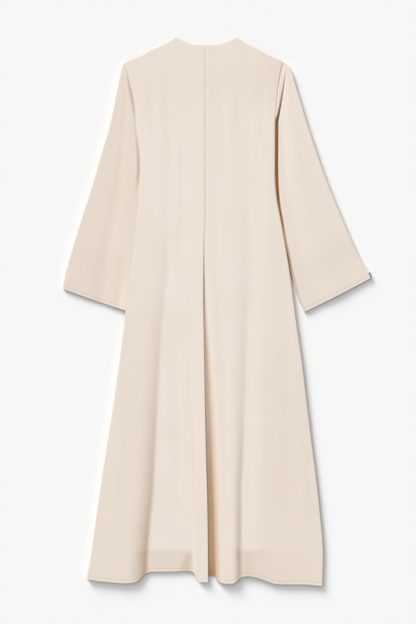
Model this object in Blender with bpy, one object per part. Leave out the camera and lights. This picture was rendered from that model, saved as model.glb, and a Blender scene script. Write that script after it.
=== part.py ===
"""Abaya cloak laid flat on its front, with its back facing up.

The cloak is cut as a real one is: two back panels with an inverted pleat
between them, a gore under the pleat, two front panels that meet edge to edge,
and two flared sleeves set into the armholes. Every piece is a cloth wall
worked out from section tables.

Tables are in millimetres. "across" runs from the centre back seam towards the
right hand side, "down" runs from the neck points to the hem, and "up" rises
from the surface that the cloak lies on. The built pieces are in metres, with
the neck towards +Y, the back facing +Z and the origin under the middle of the
whole cloak.
"""
import math
from collections import namedtuple

import bmesh
import bpy
from mathutils import Vector

MM = 0.001

# Cloth and seams
WALL = 1.2
GAP = 0.3
FOLD_RADIUS = 1.5
SEAM_UP = 2 * FOLD_RADIUS
SEAM_FLAT = 3.0
EDGE_ROUND = 13.0
TOP_ROUND = 16.0

# Neck and shoulders
NECK_LEFT = -73.0
NECK_RIGHT = 80.0
BACK_NECK_DROP = 20.0
FRONT_NECK_DROP = 95.0
NECK_CURVE = 2.5
SHOULDER_DROP = 68.0
UNDERARM_DOWN = 350.0
ARMHOLE_STEPS = 7

# Inverted pleat
PLEAT_TOP = 505.0
PLEAT_TOP_DEPTH = 9.0
PLEAT_HEM_DEPTH = 46.0
PLEAT_RADIUS = 1.7
PLEAT_STEPS = 5
ARC_STEPS = 3
RETURN_CURVE = 1.6
GORE_HEM_DOWN = 1376.0
GORE_ROWS = 12
GORE_COLUMNS = 4

# Levels and rows of cloth
HEM_LEVEL = 1390.0
SKIRT_ROWS = 27

# Hem of the front panels, which stops above the back's own hem
FRONT_HEM_DOWN = 1306.0
FRONT_HEM_RISE_RUN = 150.0

# The body's left edge rises over the strip of sleeve that is tucked under it
TUCK_LIFT = 3.7
TUCK_FULL = 28.0
TUCK_FADE = 62.0
TUCK_DOWN = (395.0, 472.0, 716.0, 790.0)
TUCK_CLEAR = 0.8
TUCK_CLEAR_RUN = 0.1

Edge = namedtuple("Edge", "down left right")
Height = namedtuple("Height", "down up")
Hem = namedtuple("Hem", "across down")
Line = namedtuple("Line", "name start hem steps")
Fold = namedtuple("Fold", "name start_down start_across hem_across before after start_up hem_up")
Sleeve = namedtuple("Sleeve", "name side outer inner lip crown waves")
Lip = namedtuple("Lip", "down width")
Wave = namedtuple("Wave", "arm_share cuff_share half_width up")

# Armhole from the shoulder tip to the underarm, then side seam to the hem
BODY_EDGES = (
    Edge(68, -205, 200.5),
    Edge(110, -198, 190.5),
    Edge(160, -187, 184),
    Edge(240, -179, 181.5),
    Edge(350, -172, 181.5),
    Edge(467, -178, 193.5),
    Edge(544, -187, 209.5),
    Edge(620, -196, 220),
    Edge(850, -221, 251),
    Edge(1080, -256, 280),
    Edge(1309, -290, 304),
    Edge(1400, -306, 302),
)

# Folded edges of the inverted pleat, on each side of the opening
PLEAT_EDGES = (
    Edge(505, -0.2, 0.2),
    Edge(670, -4, 1),
    Edge(925, 1, 16),
    Edge(1080, 5, 24),
    Edge(1285, 8, 29),
    Edge(1400, 8, 31),
)

# Height of the back's flat parts, from the shoulders to the hem
FULLNESS = (
    Height(0, 7),
    Height(200, 9),
    Height(470, 9.5),
    Height(900, 10.5),
    Height(1300, 11),
    Height(1400, 7),
)

# Back hem, raised where the cloth lies low between the folds
LEFT_HEM = (
    Hem(-306, 1381),
    Hem(-221, 1393),
    Hem(-172, 1390),
    Hem(-150, 1368),
    Hem(-137, 1363),
    Hem(-36, 1363),
    Hem(-17, 1388),
    Hem(9, 1391),
)
RIGHT_HEM = (
    Hem(29, 1388),
    Hem(44, 1393),
    Hem(75, 1393),
    Hem(96, 1378),
    Hem(122, 1376),
    Hem(167, 1390),
    Hem(240, 1396),
    Hem(306, 1400),
)

# Lines that the columns of cloth follow, as shares of the way from the side
# edge to the centre, above the folds and at the hem
LEFT_LINES = (
    Line("side", 0.0, 0.0, 0),
    Line("side_flat", 0.016, 0.012, 1),
    Line("side_round", 0.09, 0.06, 2),
    Line("swell_crest", 0.26, 0.36, 4),
    Line("drop_foot", 0.46, 0.53, 4),
    Line("strip_foot", 0.84, 0.87, 4),
    Line("pleat_edge", 1.0, 1.0, 4),
)
RIGHT_LINES = (
    Line("side", 0.0, 0.0, 0),
    Line("side_flat", 0.016, 0.012, 1),
    Line("side_round", 0.09, 0.06, 2),
    Line("side_swell", 0.26, 0.30, 3),
    Line("drop_foot", 0.54, 0.72, 4),
    Line("front_crest", 0.74, 0.86, 4),
    Line("pleat_edge", 1.0, 1.0, 4),
)
LINES_SPREAD_FROM = 560.0

# Long folds of the skirt: a crest that falls away before and after it. Each
# grows in over the first part of its length
FOLD_GROWS_OVER = 0.2
LEFT_FOLDS = (
    Fold("swell", 600, -152, -186, 105, 44, 1.0, 15.0),
    Fold("pleat_strip", 560, 2, 4, 34, 60, 0.6, 13.0),
)
RIGHT_FOLDS = (
    Fold("front_crest", 600, 55, 60, 50, 44, 1.2, 15.0),
    Fold("side_swell", 640, 150, 232, 85, 70, 0.4, 6.5),
)

# Flared sleeves. The inner edge is the armhole down to the underarm and goes on
# to the cuff from there; the lip is the low strip beside it
LEFT_SLEEVE = Sleeve(
    name="sleeve_left",
    side="left",
    outer=((-213, 81), (-222.5, 135), (-246, 237), (-276, 340), (-340, 545), (-357, 605), (-360.5, 635)),
    inner=((-172, 350), (-175.5, 391), (-179, 467), (-180, 560), (-180, 705)),
    lip=(Lip(350, 3), Lip(467, 4), Lip(544, 13), Lip(620, 22), Lip(705, 28)),
    crown=(Height(68, 4), Height(140, 8), Height(350, 11), Height(705, 12)),
    waves=(Wave(0.45, 0.55, 0.2, -1.8),),
)
RIGHT_SLEEVE = Sleeve(
    name="sleeve_right",
    side="right",
    outer=((222, 87), (230, 109), (245, 161), (285, 288),
           (322, 390), (367, 493), (416, 595), (424.5, 607)),
    inner=((181.5, 350), (196, 467), (212.5, 544), (223, 600), (237, 657), (254.5, 701)),
    lip=(Lip(68, 4), Lip(200, 5), Lip(705, 5)),
    crown=(Height(68, 4), Height(140, 9), Height(350, 13), Height(705, 14)),
    waves=(Wave(0.45, 0.5, 0.25, 2.0), Wave(0.15, 0.25, 0.12, -1.4)),
)
ARMHOLE_SHARE = 0.45
SLEEVE_STEPS = 12
OUTER_COLUMNS = (FOLD_RADIUS, 7.0, 14.0, 22.0)
INNER_COLUMNS = (6.0, 13.0, 20.0)
MIDDLE_COLUMNS = 5
SLEEVE_ROUND = 20.0
EDGE_SHARE = 0.33
ROW_BOW = 1.8
CUFF_UNDER_SHARE = 0.994

# Small tab sewn to the outer edge of the right cuff
TAB_ALONG = (0.3, 0.8)
TAB_OUT = 4.0
TAB_THICK = 1.2
TAB_CLEAR = 0.4

# Cloth colours: warm cream crepe
BACK_COLOUR = (0.81, 0.73, 0.63, 1.0)
UNDER_COLOUR = (0.76, 0.67, 0.56, 1.0)
SLEEVE_COLOUR = (0.79, 0.70, 0.60, 1.0)
TAB_COLOUR = (0.80, 0.77, 0.70, 1.0)
CLOTH_ROUGHNESS = 0.82


def clear_scene():
    """Start from an empty scene."""
    for item in list(bpy.data.objects):
        bpy.data.objects.remove(item, do_unlink=True)


def rise(distance, run):
    """Smooth climb from 0 to 1 over the run."""
    share = min(max(distance / run, 0.0), 1.0)
    return share * share * (3.0 - 2.0 * share)


def curve_at(knots, values, at):
    """Smooth curve through the knots, without overshooting between them."""
    if at <= knots[0]:
        return values[0]
    if at >= knots[-1]:
        return values[-1]
    slopes = [(values[i + 1] - values[i]) / (knots[i + 1] - knots[i]) for i in range(len(knots) - 1)]
    tangents = [slopes[0]]
    for before, after in zip(slopes, slopes[1:]):
        same_way = before * after > 0.0
        tangents.append(2.0 * before * after / (before + after) if same_way else 0.0)
    tangents.append(slopes[-1])
    span = next(i for i in range(len(slopes)) if at <= knots[i + 1])
    width = knots[span + 1] - knots[span]
    t = (at - knots[span]) / width
    bend = (1.0 - t) * (tangents[span] - slopes[span]) - t * (tangents[span + 1] - slopes[span])
    return values[span] + t * (values[span + 1] - values[span]) + width * t * (1.0 - t) * bend


def table_at(table, column, at, key="down"):
    """Value of one column of a table at a place between its rows."""
    knots = [getattr(row, key) for row in table]
    values = [getattr(row, column) for row in table]
    return curve_at(knots, values, at)


def path_at(points, share):
    """Point at a share of the length of a smooth path."""
    lengths = [0.0]
    for start, end in zip(points, points[1:]):
        lengths.append(lengths[-1] + math.dist(start, end))
    at = share * lengths[-1]
    return tuple(curve_at(lengths, [point[i] for point in points], at) for i in range(2))


def neck_or_shoulder(across, neck_drop):
    """How far down the top edge lies, along the neck and the shoulders."""
    neck = NECK_LEFT if across < 0 else NECK_RIGHT
    tip = table_at(BODY_EDGES, "left" if across < 0 else "right", SHOULDER_DROP)
    if abs(across) < abs(neck):
        return neck_drop * (1.0 - abs(across / neck) ** NECK_CURVE)
    return SHOULDER_DROP * (abs(across) - abs(neck)) / (abs(tip) - abs(neck))


def armhole_downs():
    """Stations along the armhole, where the body and the sleeve meet."""
    step = (UNDERARM_DOWN - SHOULDER_DROP) / ARMHOLE_STEPS
    return [SHOULDER_DROP + step * i for i in range(ARMHOLE_STEPS + 1)]


def side_at(side, down):
    """Side edge of the body. Along the armhole it runs straight between its stations."""
    if down >= UNDERARM_DOWN:
        return table_at(BODY_EDGES, side, down)
    stations = armhole_downs()
    down = max(down, stations[0])
    index = min(int((down - stations[0]) / (stations[1] - stations[0])), ARMHOLE_STEPS - 1)
    start = table_at(BODY_EDGES, side, stations[index])
    end = table_at(BODY_EDGES, side, stations[index + 1])
    return start + (end - start) * (down - stations[index]) / (stations[index + 1] - stations[index])


def tuck_lift(side, down, from_side):
    """Lift of the body where it lies on the tucked strip of the left sleeve."""
    if side == "right":
        return 0.0
    start, full, hold, end = TUCK_DOWN
    along = rise(down - start, full - start) * (1.0 - rise(down - hold, end - hold))
    return TUCK_LIFT * along * (1.0 - rise(from_side - TUCK_FULL, TUCK_FADE - TUCK_FULL))


def fold_up(fold, across, down):
    """Height that one long fold adds at a place on the cloth."""
    share = (down - fold.start_down) / (HEM_LEVEL - fold.start_down)
    if share <= 0.0:
        return 0.0
    crest = fold.start_across + (fold.hem_across - fold.start_across) * share
    width = fold.before if across < crest else fold.after
    away = abs(across - crest) / width
    if away >= 1.0:
        return 0.0
    height = fold.start_up + (fold.hem_up - fold.start_up) * share
    return height * rise(share, FOLD_GROWS_OVER) * math.cos(0.5 * math.pi * away) ** 2


def back_up(side, folds, across, down):
    """Height of the back's outer surface."""
    from_side = abs(across - side_at(side, down))
    from_top = down - neck_or_shoulder(across, BACK_NECK_DROP)
    flat = table_at(FULLNESS, "up", down)
    swell = sum(fold_up(fold, across, down) for fold in folds)
    rounding = rise(from_side - SEAM_FLAT, EDGE_ROUND) * rise(from_top - SEAM_FLAT, TOP_ROUND)
    return SEAM_UP + tuck_lift(side, down, from_side) + (flat + swell - SEAM_UP) * rounding


def side_downs(hem_down):
    """Where the rows of cloth meet the side edge: armhole stations, then even steps."""
    step = (hem_down - UNDERARM_DOWN) / SKIRT_ROWS
    return armhole_downs() + [UNDERARM_DOWN + step * (i + 1) for i in range(SKIRT_ROWS)]


def columns(lines):
    """Share of the way from side to centre for each column, above the folds and at the hem."""
    shares = [(lines[0].start, lines[0].hem)]
    for before, after in zip(lines, lines[1:]):
        for i in range(1, after.steps + 1):
            t = i / after.steps
            shares.append((before.start + (after.start - before.start) * t,
                           before.hem + (after.hem - before.hem) * t))
    return shares


def hem_at(hem, across):
    """How far down the hem lies."""
    return table_at(hem, "down", across, key="across")


def back_rows(side, lines, folds, hem):
    """Rows of a back panel, each ending in the pleat's turned-under return."""
    sign = -1.0 if side == "left" else 1.0
    tip = side_at(side, SHOULDER_DROP)
    hem_side = side_at(side, HEM_LEVEL)
    hem_edge = table_at(PLEAT_EDGES, side, HEM_LEVEL)
    hem_side_down = hem_at(hem, hem_side)
    hem_edge_down = hem_at(hem, hem_edge)
    rows = []
    for side_down in side_downs(hem_side_down):
        along = (side_down - SHOULDER_DROP) / (hem_side_down - SHOULDER_DROP)
        edge_down = BACK_NECK_DROP + along * (hem_edge_down - BACK_NECK_DROP)
        pleated = edge_down >= PLEAT_TOP
        edge = sign * 0.5 * GAP
        if pleated:
            edge = table_at(PLEAT_EDGES, side, edge_down) + sign * PLEAT_RADIUS
        spread = (side_down - LINES_SPREAD_FROM) / (HEM_LEVEL - LINES_SPREAD_FROM)
        spread = min(max(spread, 0.0), 1.0)
        start = side_at(side, side_down)
        row = []
        for start_share, hem_share in columns(lines):
            across = start + (edge - start) * (start_share + (hem_share - start_share) * spread)
            top = neck_or_shoulder(tip * (1.0 - start_share), BACK_NECK_DROP)
            low = hem_at(hem, hem_side + (hem_edge - hem_side) * hem_share)
            down = top + along * (low - top)
            row.append((across, down, back_up(side, folds, across, down)))
        if pleated:
            row += pleat_return(side, sign, folds, row[-1])
        rows.append(row)
    return rows


def pleat_return(side, sign, folds, edge):
    """The panel turned under at the pleat: a round fold, then cloth that lies back."""
    across, down, up = edge
    depth = pleat_depth(down)
    points = []
    for i in range(1, ARC_STEPS + 1):
        turn = math.pi * i / ARC_STEPS
        points.append((across - sign * PLEAT_RADIUS * math.sin(turn), down,
                       up - PLEAT_RADIUS * (1.0 - math.cos(turn))))
    start_up = up - 2.0 * PLEAT_RADIUS
    end_up = 2.0 * (WALL + GAP)
    for i in range(1, PLEAT_STEPS + 1):
        t = i / PLEAT_STEPS
        place = across + sign * depth * t
        ceiling = back_up(side, folds, place, down) - 2.0 * (WALL + GAP)
        sloped = end_up + (start_up - end_up) * (1.0 - t) ** RETURN_CURVE
        points.append((place, down, max(min(sloped, ceiling), end_up)))
    return points


def pleat_depth(down):
    """How far the pleat's return is turned under."""
    share = (down - PLEAT_TOP) / (HEM_LEVEL - PLEAT_TOP)
    return PLEAT_TOP_DEPTH + (PLEAT_HEM_DEPTH - PLEAT_TOP_DEPTH) * share


def gore_rows():
    """The gore behind the pleat, sewn to the far edges of both returns."""
    rows = []
    for i in range(GORE_ROWS + 1):
        share = i / GORE_ROWS
        down = PLEAT_TOP + (GORE_HEM_DOWN - PLEAT_TOP) * share
        depth = pleat_depth(down)
        left = table_at(PLEAT_EDGES, "left", down) - depth
        right = table_at(PLEAT_EDGES, "right", down) + depth
        step = (right - left) / GORE_COLUMNS
        rows.append([(left + step * j, down, 2.0 * WALL + GAP) for j in range(GORE_COLUMNS + 1)])
    return rows


def front_columns(width, neck):
    """Distances from the side edge for the columns of a front panel of this width."""
    middle = 0.5 * (TUCK_FULL + TUCK_FADE)
    return (0.0, TUCK_FULL, middle, TUCK_FADE, width - neck, width - 0.5 * GAP)


def front_rows(side, hem):
    """Rows of a front panel. It lies on the surface and meets the other at the centre."""
    sign = -1.0 if side == "left" else 1.0
    neck = abs(NECK_LEFT if side == "left" else NECK_RIGHT)
    tip = side_at(side, SHOULDER_DROP)
    hem_side = side_at(side, HEM_LEVEL)
    hem_side_down = hem_at(hem, hem_side)
    rows = []
    for side_down in side_downs(hem_side_down):
        along = (side_down - SHOULDER_DROP) / (hem_side_down - SHOULDER_DROP)
        start = side_at(side, side_down)
        row = []
        for from_side, at_tip, at_hem in zip(front_columns(abs(start), neck), front_columns(abs(tip), neck),
                                             front_columns(abs(hem_side), neck)):
            top = neck_or_shoulder(tip - sign * at_tip, FRONT_NECK_DROP)
            low = hem_side_down + (FRONT_HEM_DOWN - hem_side_down) * rise(at_hem, FRONT_HEM_RISE_RUN)
            down = top + along * (low - top)
            row.append((start - sign * from_side, down, tuck_lift(side, down, from_side)))
        rows.append(row)
    return rows


def sleeve_inner(sleeve, along):
    """Inner edge of the sleeve: armhole to the underarm, then the underarm fold."""
    if along <= ARMHOLE_SHARE:
        down = SHOULDER_DROP + (UNDERARM_DOWN - SHOULDER_DROP) * along / ARMHOLE_SHARE
        return side_at(sleeve.side, down), down
    return path_at(sleeve.inner, (along - ARMHOLE_SHARE) / (1.0 - ARMHOLE_SHARE))


def sleeve_place(sleeve, along, across_share):
    """Place on the flattened sleeve, from the inner edge (0) to the outer fold (1)."""
    sign = -1.0 if sleeve.side == "left" else 1.0
    inner = sleeve_inner(sleeve, along)
    outer = path_at(sleeve.outer, along)
    bow = ROW_BOW * 4.0 * across_share * (1.0 - across_share) * (2.0 * along - 1.0)
    clear = GAP + (TUCK_CLEAR - GAP) * rise(along - ARMHOLE_SHARE, TUCK_CLEAR_RUN)
    return (inner[0] + (outer[0] - inner[0]) * across_share + sign * clear,
            inner[1] + (outer[1] - inner[1]) * across_share + bow)


def sleeve_row(sleeve, along):
    """Points round the sleeve at one level: back layer, outer fold, front layer."""
    inner = sleeve_inner(sleeve, along)
    width = math.dist(inner, path_at(sleeve.outer, along))
    lip = table_at(sleeve.lip, "width", inner[1])
    squeeze = min(1.0, EDGE_SHARE * width / OUTER_COLUMNS[-1])
    below_arm = along >= ARMHOLE_SHARE
    start = FOLD_RADIUS / width if below_arm else 0.0
    near = [start] + [(lip + extra) * squeeze / width for extra in (0.0,) + INNER_COLUMNS]
    far = [1.0 - extra * squeeze / width for extra in OUTER_COLUMNS]
    step = (far[-1] - near[-1]) / MIDDLE_COLUMNS
    middle = [near[-1] + step * (i + 1) for i in range(MIDDLE_COLUMNS - 1)]
    shares = near + middle + far[::-1]
    crown = table_at(sleeve.crown, "up", inner[1])
    row = []
    for share in shares:
        wave = 0.0
        for part in sleeve.waves:
            centre = part.arm_share + (part.cuff_share - part.arm_share) * along
            away = min(abs(share - centre) / part.half_width, 1.0)
            wave += part.up * along * math.cos(0.5 * math.pi * away) ** 2
        rounding = (rise(share * width - lip * squeeze, SLEEVE_ROUND * squeeze)
                    * rise((1.0 - share) * width - FOLD_RADIUS, SLEEVE_ROUND * squeeze))
        place = sleeve_place(sleeve, along, share)
        row.append((place[0], place[1], SEAM_UP + (crown + wave - SEAM_UP) * rounding))
    outer = sleeve_place(sleeve, along, 1.0)
    row.append((outer[0], outer[1], FOLD_RADIUS))
    under_along = min(along, CUFF_UNDER_SHARE)
    under_shares = [start, near[-1]] + middle[1::2] + [far[-1], far[0]]
    for share in under_shares[::-1]:
        place = sleeve_place(sleeve, under_along, share)
        row.append((place[0], place[1], 0.0))
    if below_arm:
        fold = sleeve_place(sleeve, along, 0.0)
        row.append((fold[0], fold[1], FOLD_RADIUS))
    return row


def sleeve_rows(sleeve):
    """Rows down the armhole, then rows from the underarm to the cuff."""
    arm = [ARMHOLE_SHARE * i / ARMHOLE_STEPS for i in range(ARMHOLE_STEPS + 1)]
    step = (1.0 - ARMHOLE_SHARE) / SLEEVE_STEPS
    below = [ARMHOLE_SHARE + step * (i + 1) for i in range(SLEEVE_STEPS)]
    return [sleeve_row(sleeve, along) for along in arm + below]


def cloth_material(name, colour):
    """Matte cloth of one colour."""
    material = bpy.data.materials.new(name + "_cloth")
    material.use_nodes = True
    shader = material.node_tree.nodes["Principled BSDF"]
    shader.inputs["Base Color"].default_value = colour
    shader.inputs["Roughness"].default_value = CLOTH_ROUGHNESS
    shader.inputs["Metallic"].default_value = 0.0
    return material


def cloth_piece(name, rows, colour, ring=None, faces_up=True):
    """A cut piece: faces between rows of points, then a wall on the inner side."""
    mesh = bpy.data.meshes.new(name)
    piece = bpy.data.objects.new(name, mesh)
    bpy.context.scene.collection.objects.link(piece)
    shape = bmesh.new()
    grid = [[shape.verts.new((p[0] * MM, -p[1] * MM, p[2] * MM)) for p in row] for row in rows]
    for upper, lower in zip(grid, grid[1:]):
        count = min(len(upper), len(lower))
        for i in range(count if count == ring else count - 1):
            j = (i + 1) % count
            shape.faces.new((upper[i], upper[j], lower[j], lower[i]))
    shape.faces.ensure_lookup_table()
    shape.normal_update()
    if (shape.faces[1].normal.z > 0.0) != faces_up:
        bmesh.ops.reverse_faces(shape, faces=shape.faces)
    shape.to_mesh(mesh)
    shape.free()
    mesh.materials.append(cloth_material(name, colour))
    mesh.shade_smooth()
    wall = piece.modifiers.new("wall", "SOLIDIFY")
    wall.thickness = WALL * MM
    wall.offset = -1.0
    wall.use_even_offset = True
    return piece


def cuff_tab():
    """Flat tab that stands out from the folded edge of the right sleeve."""
    above = Vector(sleeve_place(RIGHT_SLEEVE, 1.0 - (1.0 - ARMHOLE_SHARE) / SLEEVE_STEPS, 1.0))
    cuff = Vector(sleeve_place(RIGHT_SLEEVE, 1.0, 1.0))
    start = above.lerp(cuff, TAB_ALONG[0])
    end = above.lerp(cuff, TAB_ALONG[1])
    run = (end - start).normalized()
    out = Vector((run.y, -run.x))
    corners = (start + out * TAB_CLEAR, end + out * TAB_CLEAR,
               end + out * (TAB_CLEAR + TAB_OUT), start + out * (TAB_CLEAR + TAB_OUT))
    mesh = bpy.data.meshes.new("cuff_tab")
    piece = bpy.data.objects.new("cuff_tab", mesh)
    bpy.context.scene.collection.objects.link(piece)
    shape = bmesh.new()
    low = FOLD_RADIUS - 0.5 * TAB_THICK
    base = shape.faces.new([shape.verts.new((c.x * MM, -c.y * MM, low * MM)) for c in corners])
    top = bmesh.ops.extrude_face_region(shape, geom=[base])["geom"]
    raised = [item for item in top if isinstance(item, bmesh.types.BMVert)]
    bmesh.ops.translate(shape, verts=raised, vec=(0.0, 0.0, TAB_THICK * MM))
    bmesh.ops.recalc_face_normals(shape, faces=shape.faces)
    shape.to_mesh(mesh)
    shape.free()
    mesh.materials.append(cloth_material("cuff_tab", TAB_COLOUR))
    return piece


def settle_at_origin(pieces):
    """Move every piece so that the origin lies under the middle of the cloak."""
    corners = [vertex.co for piece in pieces for vertex in piece.data.vertices]
    low = Vector([min(co[i] for co in corners) for i in range(3)])
    high = Vector([max(co[i] for co in corners) for i in range(3)])
    shift = Vector((-0.5 * (low.x + high.x), -0.5 * (low.y + high.y), -low.z))
    for piece in pieces:
        for vertex in piece.data.vertices:
            vertex.co += shift


def main():
    clear_scene()
    pieces = [
        cloth_piece("back_left", back_rows("left", LEFT_LINES, LEFT_FOLDS, LEFT_HEM), BACK_COLOUR),
        cloth_piece("back_right", back_rows("right", RIGHT_LINES, RIGHT_FOLDS, RIGHT_HEM), BACK_COLOUR),
        cloth_piece("pleat_gore", gore_rows(), UNDER_COLOUR),
        cloth_piece("front_left", front_rows("left", LEFT_HEM), UNDER_COLOUR, faces_up=False),
        cloth_piece("front_right", front_rows("right", RIGHT_HEM), UNDER_COLOUR, faces_up=False),
    ]
    for sleeve in (LEFT_SLEEVE, RIGHT_SLEEVE):
        rows = sleeve_rows(sleeve)
        pieces.append(cloth_piece(sleeve.name, rows, SLEEVE_COLOUR, ring=len(rows[-1])))
    pieces.append(cuff_tab())
    settle_at_origin(pieces)


main()
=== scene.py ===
import math

import bmesh
import bpy
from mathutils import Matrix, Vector

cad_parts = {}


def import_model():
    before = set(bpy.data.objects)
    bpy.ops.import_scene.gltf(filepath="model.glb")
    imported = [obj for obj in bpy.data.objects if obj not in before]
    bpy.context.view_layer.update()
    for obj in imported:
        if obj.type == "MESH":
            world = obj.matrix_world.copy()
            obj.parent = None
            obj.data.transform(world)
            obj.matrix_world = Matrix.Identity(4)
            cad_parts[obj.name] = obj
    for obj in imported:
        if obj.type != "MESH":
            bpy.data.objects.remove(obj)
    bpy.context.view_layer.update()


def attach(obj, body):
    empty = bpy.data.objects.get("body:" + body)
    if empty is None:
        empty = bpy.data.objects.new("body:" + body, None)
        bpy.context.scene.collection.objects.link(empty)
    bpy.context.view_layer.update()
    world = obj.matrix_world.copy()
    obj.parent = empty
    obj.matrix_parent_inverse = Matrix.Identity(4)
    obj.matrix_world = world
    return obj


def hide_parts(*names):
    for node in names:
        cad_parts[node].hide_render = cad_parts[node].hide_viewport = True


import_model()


# Surface, light and camera
# The cloak lies back up on a matt white table. A broad soft light comes in
# low over its left shoulder, and the camera looks straight down from above.
#
# Lengths here are in metres. A light's tilt is its angle from straight overhead,
# and its spread is how wide it looks from the table, both in degrees.
TABLE_SIZE = 9.0
TABLE_WHITE = "eeeeee"
KEY_TILT = 65.0
KEY_TURN = 31.0
KEY_SPREAD = 25.0
KEY_STRENGTH = 3.2
FILL_TILT = 22.0
FILL_SPREAD = 60.0
FILL_STRENGTH = 1.22
ROOM_STRENGTH = 0.29
CAMERA_LENS = 100.0
SENSOR_SIZE = 36.0
VIEW_HEIGHT = 1.5927
VIEW_CENTRE = (-0.0240, -0.0019)
CLOTH_PLANE = 0.008


def linear(hex_colour):
    """Linear colour of an sRGB hex value."""
    parts = [int(hex_colour[i:i + 2], 16) / 255.0 for i in (0, 2, 4)]
    return [p / 12.92 if p <= 0.04045 else ((p + 0.055) / 1.055) ** 2.4 for p in parts] + [1.0]


def add_node(tree, kind, links=(), **settings):
    """Add one node: settings by attribute or input name, links as (input, output socket)."""
    node = tree.nodes.new(kind)
    for name, value in settings.items():
        if hasattr(node, name):
            setattr(node, name, value)
        else:
            node.inputs[name.replace("_", " ").title()].default_value = value
    for target, source in links:
        tree.links.new(source, node.inputs[target])
    return node


def deselect_all():
    for item in bpy.context.selected_objects:
        item.select_set(False)


# Matt white laminate: even and pale, with no gloss that the eye can find
white_laminate = bpy.data.materials.new("matt_white_laminate")
white_laminate.use_nodes = True
laminate = white_laminate.node_tree.nodes["Principled BSDF"]
laminate.inputs["Base Color"].default_value = linear(TABLE_WHITE)
laminate.inputs["Roughness"].default_value = 0.95
laminate.inputs["Specular IOR Level"].default_value = 0.0

deselect_all()
bpy.ops.mesh.primitive_plane_add(size=TABLE_SIZE, location=(0.0, 0.0, 0.0))
table_top = bpy.context.object
table_top.name = "table_top"
table_top.data.materials.append(white_laminate)


def add_sun(name, tilt, turn, spread, strength):
    """A distant soft light that leans from straight overhead towards the upper left."""
    level = Vector((-math.sin(math.radians(turn)), math.cos(math.radians(turn)), 0.0))
    overhead = Vector((0.0, 0.0, 1.0))
    towards_light = level * math.sin(math.radians(tilt)) + overhead * math.cos(math.radians(tilt))
    bpy.ops.object.light_add(type="SUN")
    sun = bpy.context.object
    sun.name = name
    sun.data.energy = strength
    sun.data.angle = math.radians(spread)
    sun.rotation_euler = towards_light.to_track_quat("Z", "Y").to_euler()


add_sun("key_light", KEY_TILT, KEY_TURN, KEY_SPREAD, KEY_STRENGTH)
add_sun("fill_light", FILL_TILT, KEY_TURN, FILL_SPREAD, FILL_STRENGTH)
room = bpy.data.worlds.new("studio_room")
room.use_nodes = True
room_light = room.node_tree.nodes["Background"]
room_light.inputs["Color"].default_value = linear("ffffff")
room_light.inputs["Strength"].default_value = ROOM_STRENGTH
bpy.context.scene.world = room
bpy.context.scene.view_settings.view_transform = "Standard"

# In an upright picture the sensor's size spans the height of the view
camera_height = CLOTH_PLANE + VIEW_HEIGHT * CAMERA_LENS / SENSOR_SIZE
bpy.ops.object.camera_add(location=(*VIEW_CENTRE, camera_height), rotation=(0.0, 0.0, 0.0))
camera = bpy.context.object
camera.data.lens = CAMERA_LENS
camera.data.sensor_width = SENSOR_SIZE
bpy.context.scene.camera = camera


# Back panels
# Two panels of cream crepe, sewn down the centre back. Below the seam each is
# turned under as one side of an inverted pleat, and its folds deepen towards
# a narrow turned hem.
#
# Places on the cloth are in millimetres: across from the centre back seam
# towards the right, down from the neck points, and up from the table. The tone
# of a place is painted shade: how far its colour is turned to a warm brown that
# stands in for the shade in folds, hollows and edges, from 0 to 1.
MM = 0.001
# The middle of the whole cloak, where the frame has its origin
MIDDLE_ACROSS = 32.47
MIDDLE_DOWN = 699.8
# Wall of every piece of cloth, a little thicker than crepe so that its edges show
WALL = 0.7
# Neck points, how far the back neck drops, and how far the shoulder tips lie below
NECK_LEFT = -73.0
NECK_RIGHT = 80.5
BACK_NECK_DROP = 20.5
NECK_CURVE = 2.6
SHOULDER_DROP = 68.0
# Neck and shoulder edges turn down over a short roll, with a thin painted shade along them
TOP_TURN = 3.5
TOP_ROLL = 1.4
TOP_TONE = 0.30
TOP_TONE_WIDTH = 3.4
# Side edges: the radius that they roll over, and painted shade on the upright cloth,
# which on the left faces the light and would otherwise light up the table, and on
# the right darkens the edge that faces away from the light
LEFT_ROLL = 1.5
RIGHT_ROLL = 3.2
WALL_TONE = 0.3
WALL_TONE_WIDTH = 1.4
RIGHT_EDGE_TONE = 0.15
RIGHT_EDGE_TONE_WIDTH = 3.0
# Centre seam: half of its gap, the shallow dip where it is pressed, and the painted shade along it
CENTRE_GAP = 0.02
SEAM_DEPTH = 0.12
SEAM_HALF = 2.0
SEAM_TONE = 0.06
SEAM_TOP_SHARE = 0.3
# Inverted pleat: where it opens, the radius of its folds, how far each side is
# turned under at the top and how much further by the hem, and the run of that change
PLEAT_TOP = 480.0
PLEAT_ROLL = 2.0
RETURN_START = 6.0
LEFT_RETURN = 11.0
RIGHT_RETURN = 24.0
RETURN_LEAD = 120.0
RETURN_RUN = 700.0
# Hem: the level of its middle, the width of the stitched band, how high the band
# swells, how deep the stitches pull, and how its edge turns down
HEM_LEVEL = 1390.0
HEM_BAND = 8.0
HEM_SWELL = 0.09
HEM_SWELL_FROM = 4.5
HEM_SWELL_RUN = 3.5
HEM_GROOVE = 0.17
HEM_GROOVE_HALF = 1.3
HEM_TURN = 0.5
HEM_ROLL = 1.0
# Below this level the rows of cloth bend to the shape of the hem
HEM_SHAPE_FROM = 1200.0
HEM_SHAPE_RUN = 150.0
# Distances between the rows and columns of points that the cloth is built from.
# The columns are that close where the panel is as wide as at its hem
BACK_ROW_STEP = 6.0
BACK_COLUMN_STEP = 3.4
PANEL_WIDTH = 290.0


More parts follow.
